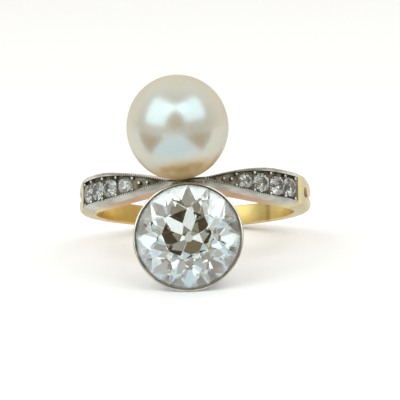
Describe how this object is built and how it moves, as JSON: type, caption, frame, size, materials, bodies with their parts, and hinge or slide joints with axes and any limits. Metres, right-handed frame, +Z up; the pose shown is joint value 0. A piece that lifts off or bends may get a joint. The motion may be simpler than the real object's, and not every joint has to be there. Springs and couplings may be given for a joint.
{
  "type": "pearl and diamond crossover ring",
  "caption": "Gold finger ring with a round pearl and a round old-cut diamond side by side, and wedge-shaped white metal shoulders set with small diamonds.",
  "frame": {"origin": "under the middle of the ring's bounding box, on the surface that it lies on", "axes": "+Z up, -Y towards the head with its pearl and diamond, +X to the right seen from the head; the finger hole's axis leans 21.8 degrees from +Z towards +Y"},
  "size_m": [0.0202, 0.026, 0.0177],
  "materials": {
    "gold": "polished yellow gold, softened by wear",
    "white_metal": "polished platinum, greyed in the recesses",
    "pearl": "cream pearl lustre with a rose overtone",
    "diamond": "clear polished facets"
  },
  "bodies": {
    "root": {"shank": "gold", "mount": "white_metal", "pearl": "pearl", "main_diamond": "diamond", "diamond_left_1": "diamond", "diamond_left_2": "diamond", "diamond_left_3": "diamond", "diamond_left_4": "diamond", "diamond_right_1": "diamond", "diamond_right_2": "diamond", "diamond_right_3": "diamond", "diamond_right_4": "diamond"}
  },
  "joints": []
}
